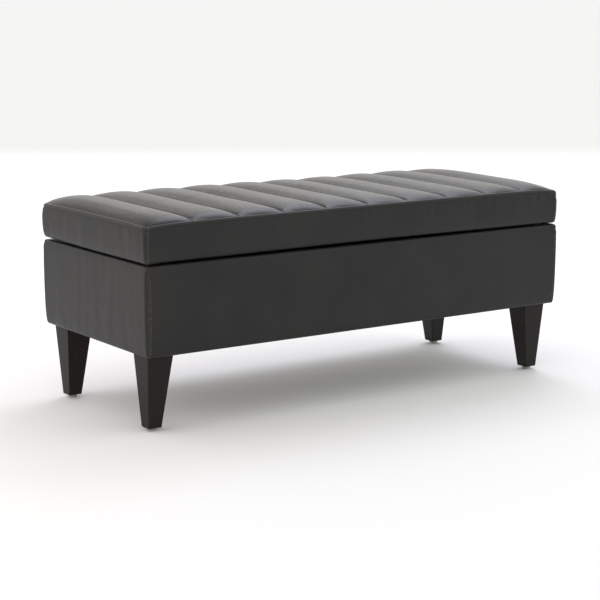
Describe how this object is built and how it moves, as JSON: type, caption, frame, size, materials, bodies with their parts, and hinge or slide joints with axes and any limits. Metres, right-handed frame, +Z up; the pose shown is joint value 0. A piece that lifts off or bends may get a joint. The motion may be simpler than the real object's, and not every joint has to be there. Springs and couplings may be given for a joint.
{
  "type": "storage bench",
  "caption": "Long upholstered storage bench with a channelled, padded lid hinged along the back, a deep storage box and square tapered legs.",
  "frame": {"origin": "on the floor, under the middle of the bench", "axes": "+X along the bench to its right-hand end seen from the front, -Y towards the front, +Y the hinge side, +Z up"},
  "size_m": [1.12, 0.466, 0.46],
  "materials": {
    "faux_leather": "satin",
    "stained_wood": "satin",
    "plywood": "matte",
    "polyester_wadding": "matte",
    "seat_foam": "matte",
    "black_cloth": "matte",
    "zinc_plated_steel": "satin",
    "black_steel": "satin",
    "polished_steel": "polished",
    "glide_plastic": "satin",
    "black_nylon": "satin",
    "bumper_rubber": "matte"
  },
  "bodies": {
    "box": {"front_panel": "plywood", "back_panel": "plywood", "left_panel": "plywood", "right_panel": "plywood", "bottom_panel": "plywood", "carcass_screws": "zinc_plated_steel", "front_wadding": "polyester_wadding", "back_wadding": "polyester_wadding", "left_wadding": "polyester_wadding", "right_wadding": "polyester_wadding", "front_cover": "faux_leather", "back_cover": "faux_leather", "left_cover": "faux_leather", "right_cover": "faux_leather", "wall_lining": "black_cloth", "floor_lining": "black_cloth", "dust_cover": "black_cloth", "dust_cover_staples": "zinc_plated_steel", "leg_front_left": "stained_wood", "leg_front_right": "stained_wood", "leg_rear_left": "stained_wood", "leg_rear_right": "stained_wood", "hanger_bolts": "zinc_plated_steel", "tee_nuts": "zinc_plated_steel", "leg_glides": "glide_plastic", "hinge_box_leaves": "zinc_plated_steel", "hinge_pins": "zinc_plated_steel", "hinge_box_screws": "zinc_plated_steel", "rim_bumpers": "bumper_rubber", "strut_box_brackets": "black_steel", "strut_box_studs": "polished_steel", "strut_box_screws": "zinc_plated_steel"},
    "lid": {"lid_board": "plywood", "seat_foam": "seat_foam", "lid_wadding": "polyester_wadding", "channel_pads": "seat_foam", "seat_cover": "faux_leather", "front_band": "faux_leather", "back_band": "faux_leather", "left_band": "faux_leather", "right_band": "faux_leather", "lid_lining": "black_cloth", "lid_staples": "zinc_plated_steel", "hinge_lid_leaves": "zinc_plated_steel", "hinge_lid_screws": "zinc_plated_steel", "strut_lid_brackets": "black_steel", "strut_lid_studs": "polished_steel", "strut_lid_screws": "zinc_plated_steel"},
    "left_strut_cylinder": {"left_strut_tube": "black_steel", "left_strut_guide": "black_nylon", "left_tube_eye": "black_nylon"},
    "left_strut_piston": {"left_strut_rod": "polished_steel", "left_rod_eye": "black_nylon"},
    "right_strut_cylinder": {"right_strut_tube": "black_steel", "right_strut_guide": "black_nylon", "right_tube_eye": "black_nylon"},
    "right_strut_piston": {"right_strut_rod": "polished_steel", "right_rod_eye": "black_nylon"}
  },
  "joints": [
    {"name": "lid_hinge", "type": "hinge", "parent": "box", "child": "lid", "pos_m": [0, 0.2285, 0.36], "axis": [-1, 0, 0], "range_deg": [0, 80]},
    {"name": "left_strut_lower_pivot", "type": "hinge", "parent": "box", "child": "left_strut_cylinder", "pos_m": [-0.5273, 0.19934, 0.20268], "axis": [-1, 0, 0], "range_deg": [0, 40]},
    {"name": "left_strut_upper_pivot", "type": "hinge", "parent": "lid", "child": "left_strut_piston", "pos_m": [-0.5273, 0.06889, 0.34884], "axis": [-1, 0, 0], "range_deg": [-40, 0]},
    {"name": "right_strut_lower_pivot", "type": "hinge", "parent": "box", "child": "right_strut_cylinder", "pos_m": [0.5273, 0.19934, 0.20268], "axis": [-1, 0, 0], "range_deg": [0, 40]},
    {"name": "right_strut_upper_pivot", "type": "hinge", "parent": "lid", "child": "right_strut_piston", "pos_m": [0.5273, 0.06889, 0.34884], "axis": [-1, 0, 0], "range_deg": [-40, 0]}
  ],
  "couplings": [
    {"joint": "left_strut_lower_pivot", "follows": "lid_hinge", "ratio": 0.5},
    {"joint": "left_strut_upper_pivot", "follows": "lid_hinge", "ratio": -0.5},
    {"joint": "right_strut_lower_pivot", "follows": "lid_hinge", "ratio": 0.5},
    {"joint": "right_strut_upper_pivot", "follows": "lid_hinge", "ratio": -0.5}
  ]
}
